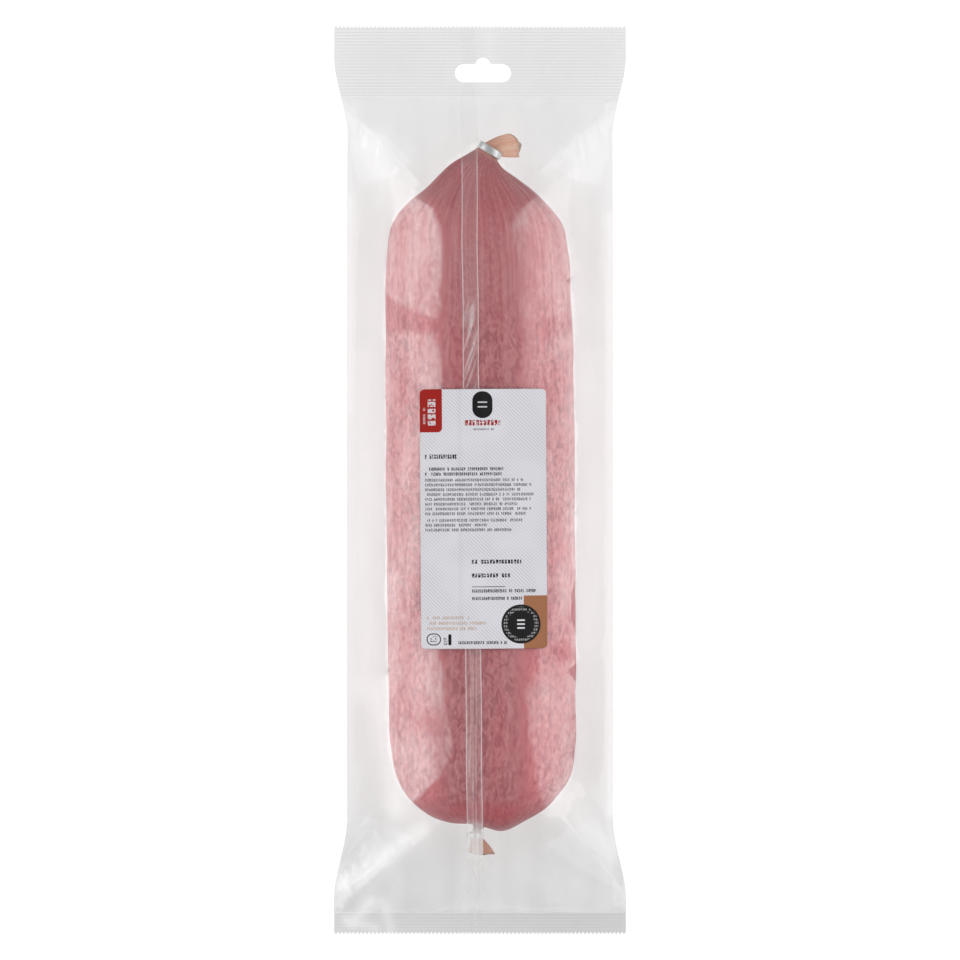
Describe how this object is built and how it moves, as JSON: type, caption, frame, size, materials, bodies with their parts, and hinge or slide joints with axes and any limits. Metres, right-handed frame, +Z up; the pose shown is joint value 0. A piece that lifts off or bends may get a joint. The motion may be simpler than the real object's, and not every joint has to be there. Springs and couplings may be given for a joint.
{
  "type": "packed cured sausage",
  "caption": "Whole cured sausage with clipped, gathered ends in a clear puffed film pack with sealed ends, a folded fin seam, a hang hole and a stuck-on label.",
  "frame": {"origin": "on the table, under the middle of the pack's bounding box", "axes": "+Z up from the table, +Y along the pack from its foot seal to its header with the hang hole, +X to the right seen from above"},
  "size_m": [0.167, 0.519, 0.0681],
  "materials": {
    "casing": "pink-red cured meat with fine pale fat seen through a thin clinging fibrous casing, tan where it is gathered and empty",
    "clip_metal": "plain bent aluminium, satin",
    "clear_film": "clear glossy packing film, faintly milky, creased, crimped at the seals",
    "label_paper": "matt coated self-adhesive paper with a fine grey diagonal tint, a red corner tab, a tan corner and a black spot"
  },
  "bodies": {
    "root": {"sausage": "casing", "top_clip": "clip_metal", "foot_clip": "clip_metal", "film_pouch": "clear_film", "label": "label_paper"}
  },
  "joints": []
}
